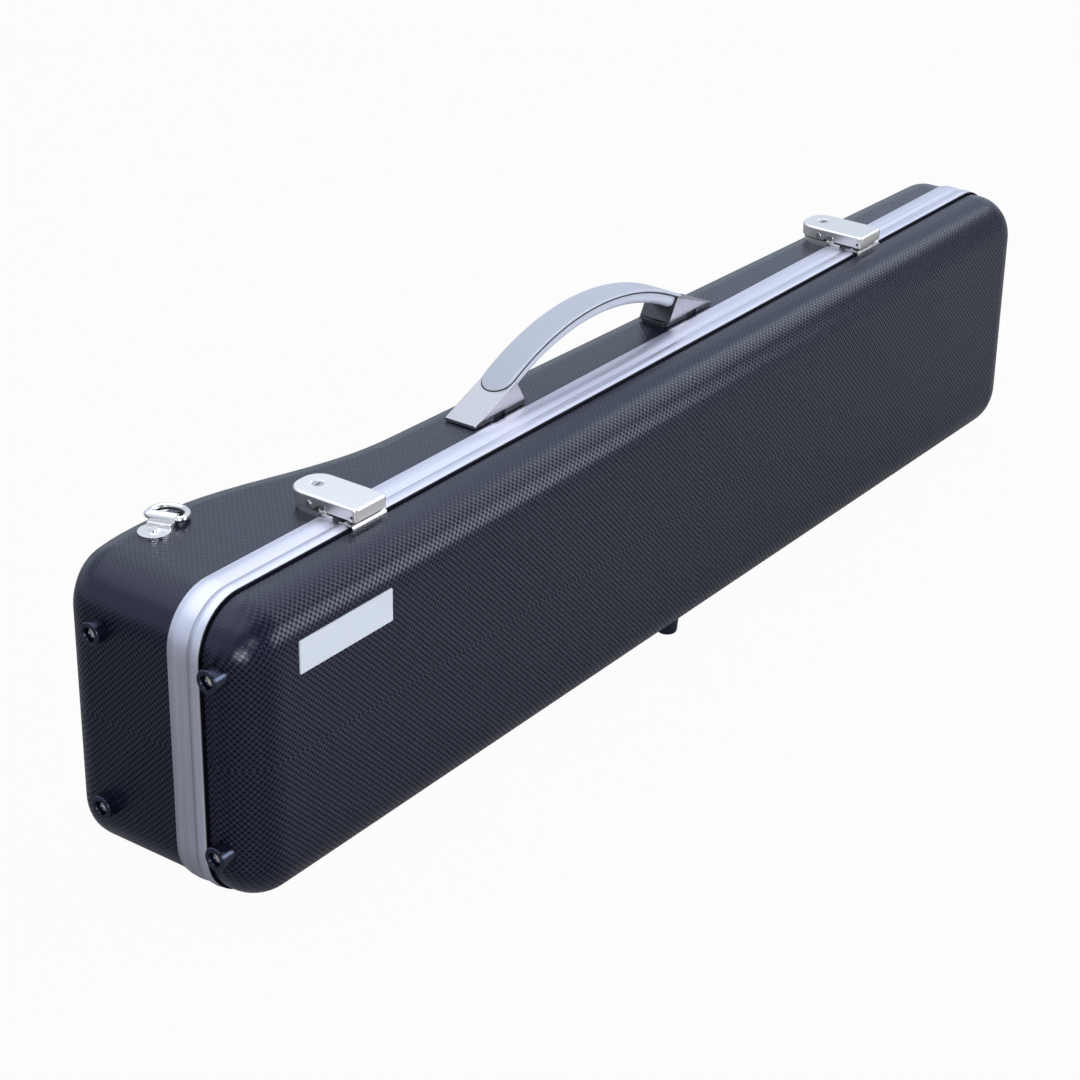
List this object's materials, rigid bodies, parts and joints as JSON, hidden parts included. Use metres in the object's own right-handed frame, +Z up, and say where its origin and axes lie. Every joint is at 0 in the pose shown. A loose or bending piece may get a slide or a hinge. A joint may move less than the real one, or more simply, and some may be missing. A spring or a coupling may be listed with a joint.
{
  "type": "erhu case",
  "caption": "Hard case for an erhu: deep resonator end, slim neck end, aluminium band, hinged lid, two cover latches, fixed arched handle, folding rings and rubber feet.",
  "frame": {"origin": "bottom centre of the whole closed case, on the floor plane under its spine feet", "axes": "+X along the case from the wide resonator end to the neck end, -Y out of the lid's face, +Z up from the hinged spine to the handle"},
  "size_m": [0.8912, 0.1478, 0.239],
  "materials": {
    "shell": "moulded black with a fine pressed texture",
    "frame": "satin anodised",
    "velvet": "short velvet over foam",
    "plate": "satin, left bare",
    "chrome": "bright nickel plating",
    "steel": "zinc plated",
    "bracket": "satin silver",
    "mount": "moulded black",
    "grip": "silver grey, soft matt",
    "grip_pad": "soft matt grey",
    "rubber": "matt black"
  },
  "bodies": {
    "case_body": {"body_frame": "frame", "body_shell": "shell", "end_foot_body_lower": "rubber", "end_foot_body_upper": "rubber", "end_screw_body_lower": "steel", "end_screw_body_upper": "steel", "foam_neck": "velvet", "foam_pegs": "velvet", "foam_pocket": "velvet", "foam_resonator": "velvet", "handle_backing": "steel", "handle_bracket_left": "bracket", "handle_bracket_right": "bracket", "handle_clip_left": "steel", "handle_clip_right": "steel", "handle_grip": "grip", "handle_mount_left": "mount", "handle_mount_right": "mount", "handle_pad": "grip_pad", "hinge_leaf_body_1": "steel", "hinge_leaf_body_2": "steel", "hinge_leaf_body_3": "steel", "hinge_pin_1": "steel", "hinge_pin_2": "steel", "hinge_pin_3": "steel", "latch_axle_left": "steel", "latch_axle_right": "steel", "latch_base_left": "steel", "latch_base_right": "steel", "ring_seat_end": "mount", "ring_tab_end": "chrome", "ring_tab_upper": "chrome", "spine_foot_body_neck": "rubber", "spine_foot_body_wide": "rubber"},
    "case_lid": {"end_foot_lid_lower": "rubber", "end_foot_lid_upper": "rubber", "end_screw_lid_lower": "steel", "end_screw_lid_upper": "steel", "hinge_leaf_lid_1": "steel", "hinge_leaf_lid_2": "steel", "hinge_leaf_lid_3": "steel", "latch_keeper_left": "chrome", "latch_keeper_right": "chrome", "lid_frame": "frame", "lid_lining": "velvet", "lid_shell": "shell", "name_plate": "plate", "spine_foot_lid": "rubber"},
    "link_left": {"latch_link_left": "steel"},
    "cover_left": {"latch_cover_left": "chrome", "latch_pin_left": "steel", "latch_claw_left": "steel"},
    "lock_left": {"latch_lock_left": "chrome"},
    "link_right": {"latch_link_right": "steel"},
    "cover_right": {"latch_cover_right": "chrome", "latch_pin_right": "steel", "latch_claw_right": "steel"},
    "lock_right": {"latch_lock_right": "chrome"},
    "ring_upper": {"carry_ring_upper": "chrome"},
    "ring_end": {"carry_ring_end": "chrome"}
  },
  "joints": [
    {"name": "lid_hinge", "type": "hinge", "parent": "case_body", "child": "case_lid", "pos_m": [0.0028, -0.0303, 0.0058], "axis": [1, 0, 0], "range_deg": [0, 105]},
    {"name": "latch_link_left", "type": "hinge", "parent": "case_body", "child": "link_left", "pos_m": [-0.2952, -0.0166, 0.2034], "axis": [1, 0, 0], "range_deg": [0, 100]},
    {"name": "latch_cover_left", "type": "hinge", "parent": "link_left", "child": "cover_left", "pos_m": [-0.2952, -0.0081, 0.2044], "axis": [1, 0, 0], "range_deg": [-95, 0]},
    {"name": "latch_lock_left", "type": "hinge", "parent": "cover_left", "child": "lock_left", "pos_m": [-0.2952, -0.0032, 0.20965], "axis": [0, 0, -1], "range_deg": [0, 90]},
    {"name": "latch_link_right", "type": "hinge", "parent": "case_body", "child": "link_right", "pos_m": [0.2618, -0.0166, 0.2034], "axis": [1, 0, 0], "range_deg": [0, 100]},
    {"name": "latch_cover_right", "type": "hinge", "parent": "link_right", "child": "cover_right", "pos_m": [0.2618, -0.0081, 0.2044], "axis": [1, 0, 0], "range_deg": [-95, 0]},
    {"name": "latch_lock_right", "type": "hinge", "parent": "cover_right", "child": "lock_right", "pos_m": [0.2618, -0.0032, 0.20965], "axis": [0, 0, -1], "range_deg": [0, 90]},
    {"name": "ring_upper", "type": "hinge", "parent": "case_body", "child": "ring_upper", "pos_m": [-0.36723, 0.04956, 0.2004], "axis": [0.3256, -0.9455, 0], "range_deg": [0, 150]},
    {"name": "ring_end", "type": "hinge", "parent": "case_body", "child": "ring_end", "pos_m": [0.445, -0.0007, 0.1236], "axis": [0, -1, 0], "range_deg": [0, 150]}
  ],
  "couplings": [
    {"joint": "latch_cover_left", "follows": "latch_link_left", "ratio": -0.92},
    {"joint": "latch_cover_right", "follows": "latch_link_right", "ratio": -0.92}
  ]
}
